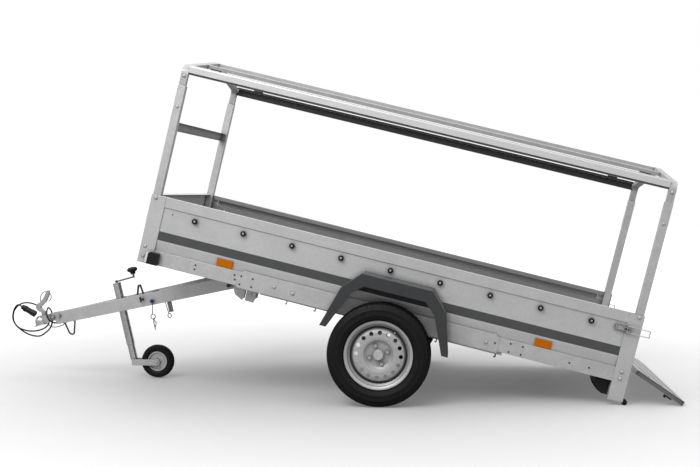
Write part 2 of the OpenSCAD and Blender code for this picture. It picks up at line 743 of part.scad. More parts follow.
module jockey_inner_tube() color("lightgray") in_drawbar() difference() {
    translate([stem_x, 0, -330]) cylinder(r = 21.46, h = 350);
    translate([stem_x, 0, -331]) cylinder(r = 18.5, h = 331);
    translate([stem_x, 0, -1]) cylinder(r = 8.08, h = 30);
}

knee_z = -348;

// the fork's side outline, level with the ground
module fork_arm() translate([0, knee_z]) rotate(-drawbar_slope) {
    translate([-8, -17]) square([152, 36]);
    translate([144, 1]) circle(r = 18);
}

module jockey_fork() color("lightgray") in_drawbar() translate([stem_x, 0, 0]) {
    for (s = [-1, 1]) along_y(s * 34 - 2, s * 34 + 2) fork_arm();
    along_y(-32, 32) translate([0, knee_z]) rotate(-drawbar_slope) {
        translate([-8, -17]) square([4, 26]);
        translate([-4, 5]) square([30, 4]);
    }
    translate([0, 0, knee_z + 4]) cylinder(r = 18.45, h = 60);
    along_y(-40, 40) translate([0, knee_z]) rotate(-drawbar_slope) translate([144, 7]) circle(r = 6);
    for (s = [-1, 1]) along_y(s * 39 - 3, s * 39 + 3) translate([0, knee_z]) rotate(-drawbar_slope)
        translate([144, 7]) circle(r = 9);
}

fork_tip = [bar_x(stem_x, knee_z) + 144, bar_z(stem_x, knee_z) + 7];

module at_jockey() translate([shift_x + fork_tip[0], 0, fork_tip[1]]) children();

module jockey_rim() color("lightgray") at_jockey() difference() {
    union() {
        bar_y(0, 0, 59, -18, 18);
        bar_y(0, 0, 16, -30, 30);
    }
    bar_y(0, 0, 6.05, -31, 31);
    for (s = [-1, 1]) difference() {
        bar_y(0, 0, 52, s * 15 - 6, s * 15 + 6);
        bar_y(0, 0, 16, -31, 31);
    }
}

module jockey_tyre() color("#222222") at_jockey() rotate([90, 0, 0]) rotate_extrude($fn = 96)
    polygon([
        [59, -18], [70, -25], [88, -25], [97, -16], [jockey_r, 0], [97, 16], [88, 25], [70, 25], [59, 18]
    ]);

// ---- cables ----

// route of the lamps' cable in the drawbar's frame, from the coupling's rear wall to the plug
cable_route = [
    [-1124, 0, 18], [-1136, 0, 17], [-1164, -4, 0], [-1188, -8, -13], [-1212, -20, -12],
    [-1228, -40, 6], [-1236, -46, 36], [-1236, -36, 66], [-1236, 0, 86], [-1238, 36, 66],
    [-1242, 50, 36], [-1250, 52, 0], [-1270, 50, -36], [-1304, 44, -60], [-1348, 36, -73],
    [-1400, 28, -52], [-1444, 20, -10], [-1472, 14, 40], [-1466, 12, 92], [-1440, 14, 128],
    [-1400, 20, 146], [-1352, 36, 136], [-1308, 52, 100], [-1284, 60, 54], [-1276, 62, 4],
    [-1290, 56, -22], [-1322, 44, -36], [-1366, 26, -36], [-1410, 8, -20], [-1450, -4, 12],
    [-1466, -8, 62], [-1452, -10, 108], [-1426, -16, 137], [-1406, -20, 143], [-1396, -20, 135],
    [-1387, -20, 127]
];
cable_r = 4.5;
plug_at = cable_route[len(cable_route) - 1];

// route of the thin breakaway cable, from under the legs up behind the handle
breakaway_route = [
    [-1164, 14, -23.4], [-1164, 14, -30], [-1180, 10, -38], [-1220, 6, -40], [-1256, 20, -28],
    [-1284, 40, 0], [-1296, 36, 50], [-1294, 30, 96], [-1284, 24, 132], [-1274, 20, 164],
    [-1252, 20, 184], [-1226, 20, 180], [-1210, 20, 160], [-1214, 20, 138], [-1232, 20, 122]
];
breakaway_r = 2.5;

// route of the short cord between the locking pin and its clip
cord_route = [[-503, -310, -6], [-503, -310, -12], [-508, -310, -40], [-514, -310, -66], [-515, -310, -72]];
cord_r = 2.5;

// a smooth curve through the route's points, in equal numbers of steps
function spline(p, i, t) = let (
    a = p[max(i - 1, 0)], b = p[i], c = p[i + 1], d = p[min(i + 2, len(p) - 1)]
) 0.5 * (2 * b + (c - a) * t + (2 * a - 5 * b + 4 * c - d) * t * t + (3 * b - a - 3 * c + d) * t * t * t);
function smooth(p, n) = [
    for (i = [0 : len(p) - 2]) for (k = [0 : n - 1]) spline(p, i, k / n),
    p[len(p) - 1]
];
function unit(v) = v / norm(v);
function heading(p, i) = unit(p[min(i + 1, len(p) - 1)] - p[max(i - 1, 0)]);
// sideways directions carried along the curve without twisting
function carry(p, i, v) = i >= len(p) ? [] : let (
    t = heading(p, i), w = unit(v - (v * t) * t)
) concat([w], carry(p, i + 1, w));

module tube(p, r, sides) {
    across = carry(p, 0, [0.1, 1, 0.05]);
    points = [
        for (i = [0 : len(p) - 1]) for (k = [0 : sides - 1]) let (turn = k * 360 / sides)
            p[i] + r * (cos(turn) * across[i] + sin(turn) * cross(heading(p, i), across[i]))
    ];
    walls = [
        for (i = [0 : len(p) - 2]) for (k = [0 : sides - 1]) let (q = (k + 1) % sides)
            let (a = i * sides, b = a + sides)
            each [[a + k, b + k, b + q], [a + k, b + q, a + q]]
    ];
    last = (len(p) - 1) * sides;
    caps = [[for (k = [0 : sides - 1]) k], [for (k = [sides - 1 : -1 : 0]) last + k]];
    polyhedron(points, concat(walls, caps));
}

module electric_cable() color("#222222") in_drawbar() tube(smooth(cable_route, 2), cable_r, 8);

module cable_plug() color("#222222") in_drawbar() translate(plug_at) rotate([0, atan2(9, -8), 0])
    rotate_extrude() polygon([
        [0, 0], [13, 0], [15, 3], [15, 14], [19, 18], [19, 30], [17, 34], [17, 64], [19, 68], [19, 94],
        [17, 96], [0, 96]
    ]);

module breakaway_cable() color("gray") in_drawbar() tube(smooth(breakaway_route, 3), breakaway_r, 8);

module pin_cord() color("blue") in_drawbar() tube(smooth(cord_route, 2), cord_r, 8);

clip_r = 2.5;                   // wire of the clips

module r_clip() color("gray") {
    cord_clip();
    lug_clip();
}

module cord_clip() in_drawbar() translate([-515, -310, -87.5]) {
    rotate([90, 0, 0]) rotate_extrude() translate([13, 0]) circle(r = clip_r);
    rod([-6, 0, -11.5], [4, 0, -30], clip_r);
    rod([6, 0, -11.5], [-4, 0, -30], clip_r);
    rod([4, 0, -28], [10, 0, -42], clip_r);
    rod([-4, 0, -28], [-4, 0, -78], clip_r);
    rod([10, 0, -40], [-2, 0, -64], clip_r);
}

// a second clip, hanging beside the lug under the left leg
module lug_clip() in_drawbar() on_leg(-418, -102) translate([0, 6, 0]) {
    rotate([90, 0, 0]) rotate_extrude() translate([12, 0]) circle(r = clip_r);
    rod([-2, 0, 11.8], [-8, 0, 78.3], clip_r);
}

side_panels();
front_panel();
corner_posts();
floor_panel();
side_beams();
cross_members();
axle_plates();
axle_tube();
mudguards();
cover_uprights();
cover_hoops();
side_rails();
roof_rails();
cover_fittings();
side_reflectors();
lamp_housings();
front_lamp_lenses();
rear_lamp_lenses();
rear_feet();
latch_bases();
frame_bolts();
pivot_brackets();
pivot_bolts();
gate_hinges();
tailgate();
gate_keepers();
latch_lever_left();
latch_lever_right();
latch_loop_left();
latch_loop_right();
swing_arm_left();
swing_arm_right();
hub_left();
hub_right();
wheel_rim_left();
wheel_rim_right();
tyre_left();
tyre_right();
wheel_bolts_left();
wheel_bolts_right();
drawbar_legs();
drawbar_crossbars();
coupling_body();
coupling_bolts();
coupling_handle();
v_stand();
lock_fittings();
jockey_clamp();
jockey_outer_tube();
jockey_crank();
jockey_knob();
jockey_inner_tube();
jockey_fork();
jockey_rim();
jockey_tyre();
electric_cable();
cable_plug();
breakaway_cable();
pin_cord();
r_clip();
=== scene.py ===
import json
import math

import bmesh
import bpy
from mathutils import Matrix, Vector


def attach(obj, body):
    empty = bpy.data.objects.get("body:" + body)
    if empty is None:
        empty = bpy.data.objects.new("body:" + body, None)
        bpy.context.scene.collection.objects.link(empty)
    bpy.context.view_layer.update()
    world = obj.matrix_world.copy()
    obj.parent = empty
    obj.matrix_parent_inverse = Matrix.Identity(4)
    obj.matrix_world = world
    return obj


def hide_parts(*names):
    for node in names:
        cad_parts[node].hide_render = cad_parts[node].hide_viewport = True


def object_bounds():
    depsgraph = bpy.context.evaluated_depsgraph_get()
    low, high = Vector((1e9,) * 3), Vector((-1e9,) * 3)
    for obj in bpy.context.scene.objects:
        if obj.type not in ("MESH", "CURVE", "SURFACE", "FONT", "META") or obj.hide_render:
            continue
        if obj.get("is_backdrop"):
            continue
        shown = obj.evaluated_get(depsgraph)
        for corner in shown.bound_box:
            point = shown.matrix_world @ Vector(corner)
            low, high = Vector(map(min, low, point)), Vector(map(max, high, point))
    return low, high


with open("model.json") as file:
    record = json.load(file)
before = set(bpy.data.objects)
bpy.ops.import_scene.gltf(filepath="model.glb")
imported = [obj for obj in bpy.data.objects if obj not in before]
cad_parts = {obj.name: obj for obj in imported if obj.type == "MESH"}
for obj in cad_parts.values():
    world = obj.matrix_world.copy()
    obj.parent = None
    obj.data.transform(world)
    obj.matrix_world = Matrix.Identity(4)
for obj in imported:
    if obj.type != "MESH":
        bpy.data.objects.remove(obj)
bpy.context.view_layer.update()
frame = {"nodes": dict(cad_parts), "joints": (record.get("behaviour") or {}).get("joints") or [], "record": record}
nodes = frame["nodes"]
joints = {j["name"]: j for j in frame["joints"]}

# ---- the frame's own places ----
TILT = math.radians(13.68)                      # of the box, nose up
SLOPE = math.radians(12.64)                     # of the drawbar
AXLE = Vector(joints["wheel_left_spin"]["pos_m"])
PIVOT = Vector(joints["drawbar_tilt"]["pos_m"])
BOX_CORNER = (-1.401, 0, 0.1495)                # box frame's origin, as seen from the axle
HALF_TRACK = 0.765
BOX = (Matrix.Translation((AXLE.x, 0, AXLE.z)) @ Matrix.Rotation(TILT, 4, "Y")
       @ Matrix.Translation(BOX_CORNER))
BAR = Matrix.Translation(PIVOT) @ Matrix.Rotation(-SLOPE, 4, "Y")
SIDES = (("left", -1), ("right", 1))
QUARTER = math.pi / 2

# ---- camera ----
# along from the axle, across from the trailer's middle, up from the ground
CAMERA_FROM_AXLE = (0.428, -6.470, 1.116)
CAMERA_AIM = (-0.0871, 0.9948, -0.0525)
cam_data = bpy.data.cameras.new("camera")
cam_data.lens = 56.41
cam_data.sensor_width = 36
cam_data.shift_x = -0.0221
cam_data.shift_y = 0.0247
cam = bpy.data.objects.new("camera", cam_data)
bpy.context.scene.collection.objects.link(cam)
cam.location = (CAMERA_FROM_AXLE[0] + AXLE.x, CAMERA_FROM_AXLE[1], CAMERA_FROM_AXLE[2])
cam.rotation_mode = "QUATERNION"
cam.rotation_quaternion = Vector(CAMERA_AIM).to_track_quat("-Z", "Y")
bpy.context.scene.camera = cam


# ---- shader nodes ----
def value_at(tree, kind, scale, detail, vector):
    """A texture node of the given kind, read at the vector."""
    node = tree.nodes.new(kind)
    node.inputs["Scale"].default_value = scale
    if "Detail" in node.inputs:
        node.inputs["Detail"].default_value = detail
    tree.links.new(vector, node.inputs["Vector"])
    return node


def ramp(tree, source, low, high, start=0.3, end=0.7):
    """Low where the source is at the start, high where it is at the end, and held beyond them."""
    node = tree.nodes.new("ShaderNodeMapRange")
    node.inputs["From Min"].default_value = start
    node.inputs["From Max"].default_value = end
    node.inputs["To Min"].default_value = low
    node.inputs["To Max"].default_value = high
    tree.links.new(source, node.inputs["Value"])
    return node.outputs["Result"]


def maths(tree, operation, *values):
    node = tree.nodes.new("ShaderNodeMath")
    node.operation = operation
    for socket, value in zip(node.inputs, values):
        if isinstance(value, float):
            socket.default_value = value
        else:
            tree.links.new(value, socket)
    return node.outputs["Value"]


def tinted(tree, color, factor):
    """The colour, multiplied by a varying factor."""
    node = tree.nodes.new("ShaderNodeMix")
    node.data_type = "RGBA"
    node.blend_type = "MULTIPLY"
    node.inputs["Factor"].default_value = 1.0
    if isinstance(color, tuple):
        node.inputs["A"].default_value = (*color, 1.0)
    else:
        tree.links.new(color, node.inputs["A"])
    tree.links.new(factor, node.inputs["B"])
    return node.outputs["Result"]


def darkened(tree, factor):
    """The tree's base colour, multiplied by a varying factor."""
    target = tree.nodes["Principled BSDF"].inputs["Base Color"]
    tree.links.new(tinted(tree, target.links[0].from_socket, factor), target)


def object_place(tree):
    return tree.nodes["Texture Coordinate"].outputs["Object"]


# ---- looks ----
FINE_GRAIN = 2.7            # the gloss's grain is this much finer than the colour's
SPANGLE_CELLS = 90.0
BUMP_DEPTH = 0.001
SHADER_SAMPLES = 4


def material(name, color, rough, metal=0.0, grain=60.0, vary=0.08, rough_vary=0.08, bump=0.0,
             bump_scale=None, coat=0.0, spangle=0.0, stretch=None, gloss=0.5, crevice_shade=None, edge=0.0):
    """A look that varies by noise. crevice is (reach, darkest factor) of painted shade that darkens the colour in
    corners, creases and between parts, and edge the rounding's radius.
    """
    made = bpy.data.materials.new(name)
    made.use_nodes = True
    tree = made.node_tree
    shader = tree.nodes["Principled BSDF"]
    where = tree.nodes.new("ShaderNodeTexCoord").outputs["Object"]
    if stretch:
        mapping = tree.nodes.new("ShaderNodeMapping")
        mapping.inputs["Scale"].default_value = stretch
        tree.links.new(where, mapping.inputs["Vector"])
        where = mapping.outputs["Vector"]
    noise = value_at(tree, "ShaderNodeTexNoise", grain, 3.0, where)
    result = tinted(tree, color, ramp(tree, noise.outputs["Fac"], 1 - vary, 1 + vary))
    if spangle:
        cells = value_at(tree, "ShaderNodeTexVoronoi", SPANGLE_CELLS, 0.0, where)
        patch = tree.nodes.new("ShaderNodeSeparateColor")
        tree.links.new(cells.outputs["Color"], patch.inputs["Color"])
        result = tinted(tree, result, ramp(tree, patch.outputs["Red"], 1 - spangle, 1 + spangle, 0, 1))
    # painted shade: the colour darkens where ambient occlusion finds other surfaces near, in corners and hollows
    if crevice_shade:
        nearby = tree.nodes.new("ShaderNodeAmbientOcclusion")
        nearby.samples = SHADER_SAMPLES
        nearby.inputs["Distance"].default_value = crevice_shade[0]
        result = tinted(tree, result, ramp(tree, nearby.outputs["AO"], crevice_shade[1], 1.0, 0.35, 0.95))
    tree.links.new(result, shader.inputs["Base Color"])
    fine = value_at(tree, "ShaderNodeTexNoise", grain * FINE_GRAIN, 2.0, where)
    tree.links.new(ramp(tree, fine.outputs["Fac"], rough - rough_vary, rough + rough_vary),
                   shader.inputs["Roughness"])
    shader.inputs["Metallic"].default_value = metal
    shader.inputs["Coat Weight"].default_value = coat
    shader.inputs["Specular IOR Level"].default_value = gloss
    rounded = None
    if edge:
        node = tree.nodes.new("ShaderNodeBevel")
        node.samples = SHADER_SAMPLES
        node.inputs["Radius"].default_value = edge
        rounded = node.outputs["Normal"]
        tree.links.new(rounded, shader.inputs["Normal"])
    if bump:
        lumps = value_at(tree, "ShaderNodeTexNoise", bump_scale, 3.0, where)
        node = tree.nodes.new("ShaderNodeBump")
        node.inputs["Strength"].default_value = bump
        node.inputs["Distance"].default_value = BUMP_DEPTH
        tree.links.new(lumps.outputs["Fac"], node.inputs["Height"])
        if rounded:
            tree.links.new(rounded, node.inputs["Normal"])
        tree.links.new(node.outputs["Normal"], shader.inputs["Normal"])
    return made


# galvanised steel: thin sheet, and heavier pieces with a coarser coat
SHEET = dict(grain=5, vary=0.03, rough_vary=0.04, bump=0.04, bump_scale=500, spangle=0.03,
             crevice_shade=(0.03, 0.45), edge=0.003)
HEAVY = dict(grain=12, vary=0.05, rough_vary=0.06, bump=0.08, bump_scale=400, spangle=0.04,
             crevice_shade=(0.03, 0.45), edge=0.003)
LOOK_VALUES = {
    "zinc_sheet": dict(color=(0.70, 0.70, 0.703), rough=0.42, metal=0.6, **SHEET),
    "gate_zinc": dict(color=(0.54, 0.54, 0.543), rough=0.44, metal=0.6, **SHEET),
    "zinc_steel": dict(color=(0.67, 0.67, 0.673), rough=0.44, metal=0.65, **HEAVY),
    "zinc_legs": dict(color=(0.66, 0.66, 0.663), rough=0.46, metal=0.45, **HEAVY),
    "hoop_zinc": dict(color=(0.50, 0.50, 0.502), rough=0.50, metal=0.35, **HEAVY),
    "dull_zinc": dict(color=(0.24, 0.24, 0.242), rough=0.46, metal=0.5, **HEAVY),
    "bright_steel": dict(color=(0.70, 0.70, 0.70), rough=0.30, metal=0.85, grain=45, vary=0.10,
                         bump=0.05, bump_scale=260, crevice_shade=(0.025, 0.25)),
    "bright_rail": dict(color=(0.84, 0.84, 0.845), rough=0.34, metal=0.5, grain=14, vary=0.03,
                        rough_vary=0.05, bump=0.04, bump_scale=300, stretch=(0.1, 1, 1)),
    "dark_steel": dict(color=(0.07, 0.07, 0.072), rough=0.40, metal=0.7, vary=0.2,
                       bump=0.15, bump_scale=400),
    "worn_wire": dict(color=(0.16, 0.16, 0.163), rough=0.40, metal=0.7, vary=0.15,
                      bump=0.1, bump_scale=400),
    "knob_face": dict(color=(0.50, 0.50, 0.50), rough=0.35, metal=0.3, grain=200, vary=0.2,
                      rough_vary=0.06),
    "wheel_silver": dict(color=(0.50, 0.50, 0.505), rough=0.44, metal=0.35, grain=70, vary=0.05,
                         rough_vary=0.05, bump=0.06, bump_scale=900, crevice_shade=(0.035, 0.12)),
    "plywood": dict(color=(0.075, 0.068, 0.062), rough=0.55, grain=30, vary=0.15,
                    bump=0.25, bump_scale=220, stretch=(0.15, 1, 1)),
    "black_plastic": dict(color=(0.010, 0.010, 0.011), rough=0.45, grain=80, vary=0.2,
                          rough_vary=0.06, bump=0.15, bump_scale=900, gloss=0.3),
    "guard_plastic": dict(color=(0.040, 0.041, 0.043), rough=0.50, grain=40, vary=0.10,
                          rough_vary=0.07, bump=0.25, bump_scale=1100, gloss=0.45, edge=0.006),
    "stripe_film": dict(color=(0.085, 0.086, 0.088), rough=0.45, grain=12, vary=0.05,
                        rough_vary=0.06, gloss=0.3),
    "orange_lens": dict(color=(0.62, 0.155, 0.002), rough=0.40, grain=120, vary=0.05,
                        rough_vary=0.05, bump=0.15, bump_scale=500, gloss=0.06),
    "clear_lens": dict(color=(0.80, 0.80, 0.79), rough=0.15, grain=120, vary=0.10,
                       rough_vary=0.05, bump=0.3, bump_scale=400, coat=0.8),
    "red_lens": dict(color=(0.42, 0.012, 0.010), rough=0.15, grain=120, vary=0.20,
                     rough_vary=0.05, bump=0.4, bump_scale=400, coat=0.6),
    "tyre": dict(color=(0.006, 0.006, 0.0065), rough=0.55, grain=55, vary=0.30,
                 rough_vary=0.10, bump=0.35, bump_scale=700, gloss=0.22),
    "black_rubber": dict(color=(0.007, 0.007, 0.0075), rough=0.55, grain=70, vary=0.25,
                         rough_vary=0.10, bump=0.3, bump_scale=800, gloss=0.22),
    "cable_black": dict(color=(0.007, 0.007, 0.008), rough=0.42, grain=90, vary=0.2,
                        bump=0.1, bump_scale=900, gloss=0.3),
    "cable_grey": dict(color=(0.035, 0.036, 0.037), rough=0.45, metal=0.2, grain=200, vary=0.3,
                       bump=0.5, bump_scale=1500),
    "cord_blue": dict(color=(0.012, 0.06, 0.30), rough=0.70, grain=300, vary=0.3,
                      bump=0.8, bump_scale=1800, gloss=0.2),
}
MATS = {name: material(name, **values) for name, values in LOOK_VALUES.items()}


def reworked(base, name):
    """A copy of a look, with its tree and the place across the trailer."""
    made = MATS[base].copy()
    made.name = name
    tree = made.node_tree
    place = tree.nodes.new("ShaderNodeSeparateXYZ")
    tree.links.new(object_place(tree), place.inputs["Vector"])
    return made, tree, place.outputs["Y"]


def behind(base, name, depth, inside, blend=0.006):
    """A copy with painted shade: darker on everything nearer the trailer's middle than the depth."""
    made, tree, across = reworked(base, name)
    darkened(tree, ramp(tree, maths(tree, "ABSOLUTE", across), inside, 1.0, depth - blend, depth))
    return made


def mixed_heads(base, name, dark, stretches, blend=0.01):
    """A copy whose bolt heads are dark in stretches along the box, counted from the axle."""
    made, tree, _ = reworked(base, name)
    along = tree.nodes.new("ShaderNodeVectorMath")
    along.operation = "DOT_PRODUCT"
    tree.links.new(object_place(tree), along.inputs[0])
    along.inputs[1].default_value = (math.cos(TILT), 0, -math.sin(TILT))
    axle = math.cos(TILT) * AXLE.x - math.sin(TILT) * AXLE.z
    factor = 1.0
    for low, high in stretches:
        front = ramp(tree, along.outputs["Value"], 0.0, 1.0, axle + low, axle + low + blend)
        rear = ramp(tree, along.outputs["Value"], 1.0, 0.0, axle + high, axle + high + blend)
        patch = maths(tree, "MULTIPLY", maths(tree, "MULTIPLY", front, rear), 1 - dark)
        factor = maths(tree, "SUBTRACT", factor, patch)
    darkened(tree, factor)
    return made


def inner_shade(base, name, inside, recess=None, recess_dark=0.85, blend=0.0005):
    """A copy with painted shade: faces towards the trailer's middle are darker, and faces set back deeper than the
    recess darker still.
    """
    made, tree, across = reworked(base, name)
    facing = tree.nodes.new("ShaderNodeSeparateXYZ")
    tree.links.new(tree.nodes.new("ShaderNodeNewGeometry").outputs["Normal"], facing.inputs["Vector"])
    outwards = maths(tree, "MULTIPLY", facing.outputs["Y"], maths(tree, "SIGN", across))
    factor = ramp(tree, outwards, inside, 1.0, -0.6, -0.1)
    if recess:
        depth = maths(tree, "ABSOLUTE", across)
        level = maths(tree, "ABSOLUTE", facing.outputs["Y"])
        deep = ramp(tree, depth, 1.0, 0.0, recess - blend, recess)
        shaded = maths(tree, "MULTIPLY", maths(tree, "MULTIPLY", deep, level), recess_dark)
        factor = maths(tree, "MULTIPLY", factor, maths(tree, "SUBTRACT", 1.0, shaded))
    darkened(tree, factor)
    return made


# painted shade on the side panels' inner faces, and on the side rails' inner faces and set-back groove
MATS["zinc_panel_shaded_inside"] = inner_shade("zinc_sheet", "zinc_panel_shaded_inside", 0.55)
MATS["rail_shaded_inside"] = inner_shade("bright_rail", "rail_shaded_inside", 0.34, recess=0.6445)
# painted shade on the wheel rims' barrels and everything behind their discs, so the disc holes read dark
MATS["rim_shaded_behind"] = behind("wheel_silver", "rim_shaded_behind", 0.788, 0.05)
MATS["bolt_heads"] = mixed_heads("bright_steel", "bolt_heads", 0.04, ((-1.25, -0.70), (0.56, 1.20)))

# pieces whose look differs from the record's, by node
LOOKS_HERE = {
    "side_panels": "zinc_panel_shaded_inside",
    "side_rails": "rail_shaded_inside",
    "drawbar_legs": "zinc_legs",
    "jockey_rim": "zinc_legs",
    "drawbar_crossbars": "dull_zinc",
    "cover_hoops": "hoop_zinc",
    "roof_rails": "hoop_zinc",
    "tailgate": "gate_zinc",
    "r_clip": "worn_wire",
    "jockey_crank": "worn_wire",
    "wheel_rim_left": "rim_shaded_behind",
    "wheel_rim_right": "rim_shaded_behind",
    "frame_bolts": "bolt_heads",
}
LOOKS = {s["node"]: s["material_slot"] for s in frame["record"]["subparts"]}
for name, node in nodes.items():
    node.data.materials.clear()
    node.data.materials.append(MATS[LOOKS_HERE.get(name, LOOKS[name])])


# ---- making pieces ----
def piece(name, mesh, look, body, place, smooth=False):
    """An object from a mesh, put at its place and riding its body."""
    mesh.name = name
    made = bpy.data.objects.new(name, mesh)
    bpy.context.scene.collection.objects.link(made)
    mesh.materials.append(MATS[look])
    mesh.transform(place)
    if smooth:
        mesh.shade_smooth()
    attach(made, body)
    return made


def block(name, low, high, look, body, place, bevel):
    """A block from its low corner to its high one, with softened edges."""
    mesh = bpy.data.meshes.new(name)
    work = bmesh.new()
    low, high = Vector(low), Vector(high)
    for v in bmesh.ops.create_cube(work, size=1.0)["verts"]:
        v.co = Vector([(low[i] + high[i]) / 2 + v.co[i] * (high[i] - low[i]) for i in range(3)])
    bmesh.ops.bevel(work, geom=work.edges[:], offset=bevel, segments=2, affect="EDGES")
    work.to_mesh(mesh)
    work.free()
    return piece(name, mesh, look, body, place)


def turned(name, outline, look, body, place, steps=64, shape=None, closed=False):
    """An outline of (radius, height) turned about Z. shape(radius, height, step) may change the radius."""
    verts, faces = [], []
    rows = len(outline)
    for k in range(steps):
        a = 2 * math.pi * k / steps
        for r, h in outline:
            q = shape(r, h, k) if shape else r
            verts.append((q * math.cos(a), q * math.sin(a), h))
    for k in range(steps):
        n = (k + 1) % steps
        for i in range(rows if closed else rows - 1):
            j = (i + 1) % rows
            faces.append((k * rows + i, n * rows + i, n * rows + j, k * rows + j))
    mesh = bpy.data.meshes.new(name)
    mesh.from_pydata(verts, [], faces)
    mesh.validate()
    work = bmesh.new()
    work.from_mesh(mesh)
    bmesh.ops.remove_doubles(work, verts=work.verts[:], dist=1e-6)
    bmesh.ops.recalc_face_normals(work, faces=work.faces[:])
    work.to_mesh(mesh)
    work.free()
    made = piece(name, mesh, look, body, place, smooth=True)
    mesh.set_sharp_from_angle(angle=math.radians(35))
    return made


# ---- cords ----
MM_PER_M = 1000
CORD_STEPS = 8              # to each stretch of a route
CABLE_R = 0.0045
THIN_R = 0.0025


def spline(p, i, t):
    """The point at t between p[i] and p[i + 1], on a smooth curve through them all."""
    a, b = p[max(i - 1, 0)], p[i]
    c, d = p[i + 1], p[min(i + 2, len(p) - 1)]
    return 0.5 * (2 * b + (c - a) * t + (2 * a - 5 * b + 4 * c - d) * t * t
                  + (3 * b - a - 3 * c + d) * t ** 3)


def cord(name, route, radius, look, node):
    """A round cord along a route in the drawbar's own frame, in place of its CAD node."""
    points = [Vector(p) / MM_PER_M for p in route]
    line = [spline(points, i, k / CORD_STEPS) for i in range(len(points) - 1) for k in range(CORD_STEPS)]
    line = [BAR @ p for p in line + [points[-1]]]
    curve = bpy.data.curves.new(name, "CURVE")
    curve.dimensions = "3D"
    curve.bevel_depth = radius
    curve.bevel_resolution = 4
    curve.use_fill_caps = True
    path = curve.splines.new("POLY")
    path.points.add(len(line) - 1)
    for target, p in zip(path.points, line):
        target.co = (*p, 1)
    made = bpy.data.objects.new(name, curve)
    bpy.context.scene.collection.objects.link(made)
    curve.materials.append(MATS[look])
    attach(made, "drawbar")
    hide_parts(node)


# millimetres from the pivot, along the drawbar, across it and up
CABLE = [
    (-1124, 0, 18), (-1136, 0, 17), (-1164, -4, 0), (-1188, -8, -13), (-1212, -20, -12),
    (-1228, -40, 6), (-1236, -46, 36), (-1236, -36, 66), (-1236, 0, 86), (-1238, 36, 66),
    (-1242, 50, 36), (-1250, 52, 0), (-1270, 50, -36), (-1304, 44, -60), (-1348, 36, -73),
    (-1400, 28, -52), (-1444, 20, -10), (-1472, 14, 40), (-1466, 12, 92), (-1440, 14, 128),
    (-1400, 20, 146), (-1352, 36, 136), (-1308, 52, 100), (-1284, 60, 54), (-1276, 62, 4),
    (-1290, 56, -22), (-1322, 44, -36), (-1366, 26, -36), (-1410, 8, -20), (-1450, -4, 12),
    (-1466, -8, 62), (-1452, -10, 108), (-1426, -16, 137), (-1406, -20, 143), (-1396, -20, 135),
    (-1387, -20, 127),
]
BREAKAWAY = [
    (-1164, 14, -23.4), (-1164, 14, -30), (-1180, 10, -38), (-1220, 6, -40), (-1256, 20, -28),
    (-1284, 40, 0), (-1296, 36, 50), (-1294, 30, 96), (-1284, 24, 132), (-1274, 20, 164),
    (-1252, 20, 184), (-1226, 20, 180), (-1210, 20, 160), (-1214, 20, 138), (-1232, 20, 122),
]
PIN_CORD = [(-503, -310, -6), (-503, -310, -12), (-508, -310, -40), (-514, -310, -66), (-515, -310, -72)]
cord("cable_run", CABLE, CABLE_R, "cable_black", "electric_cable")
cord("breakaway_run", BREAKAWAY, THIN_R, "cable_grey", "breakaway_cable")
cord("pin_cord_run", PIN_CORD, THIN_R, "cord_blue", "pin_cord")

# the pin cord's turn around the locking pin
PIN_PLACE = (-0.503, -0.310, 0)
TURN_R = 0.0088
TURN_SIDES = 10
turned("pin_cord_turn",
       [(TURN_R + THIN_R * math.cos(a * 2 * math.pi / TURN_SIDES),
         THIN_R * math.sin(a * 2 * math.pi / TURN_SIDES)) for a in range(TURN_SIDES)],
       "cord_blue", "drawbar",
       BAR @ Matrix.Translation(PIN_PLACE) @ Matrix.Rotation(QUARTER, 4, "X"), 32, closed=True)

# ---- side stripes, without lettering, and the cover knobs' faces ----
STRIPE_X = (0.082, 2.620)
STRIPE_Z = (0.137, 0.185)
STRIPE_BACK, STRIPE_FRONT = 0.6485, 0.6491
KNOB_COUNT, KNOB_START, KNOB_PITCH = 9, 0.262, 0.272
KNOB_Y, KNOB_Z = 0.6666, 0.282
KNOB_FACE = [(0, 0.0), (0.0055, 0.0), (0.0055, 0.0015), (0.004, 0.0022), (0, 0.0022)]
for side, s in SIDES:
    across = sorted((s * STRIPE_BACK, s * STRIPE_FRONT))
    low, high = zip(STRIPE_X, across, STRIPE_Z)
    block(f"side_stripe_{side}", low, high, "stripe_film", "box", BOX, 0.0002)
    for i in range(KNOB_COUNT):
        place = (BOX @ Matrix.Translation((KNOB_START + KNOB_PITCH * i, s * KNOB_Y, KNOB_Z))
                 @ Matrix.Rotation(-s * QUARTER, 4, "X"))
        turned(f"knob_face_{side}_{i + 1}", KNOB_FACE, "knob_face", "box", place, 20)

# ---- tyres with their tread ----
TREAD_STEPS = 480
RIB_PERIOD, RIB_WIDTH, RIB_SLANT = 8, 2, 260     # steps round the tyre, and steps a metre across it
RIB_FROM, RIB_CUT = 0.2690, 0.0045
NICK_WIDTH, NICK_FROM, NICK_Y, NICK_CUT = 3, 0.2600, 0.055, 0.0018


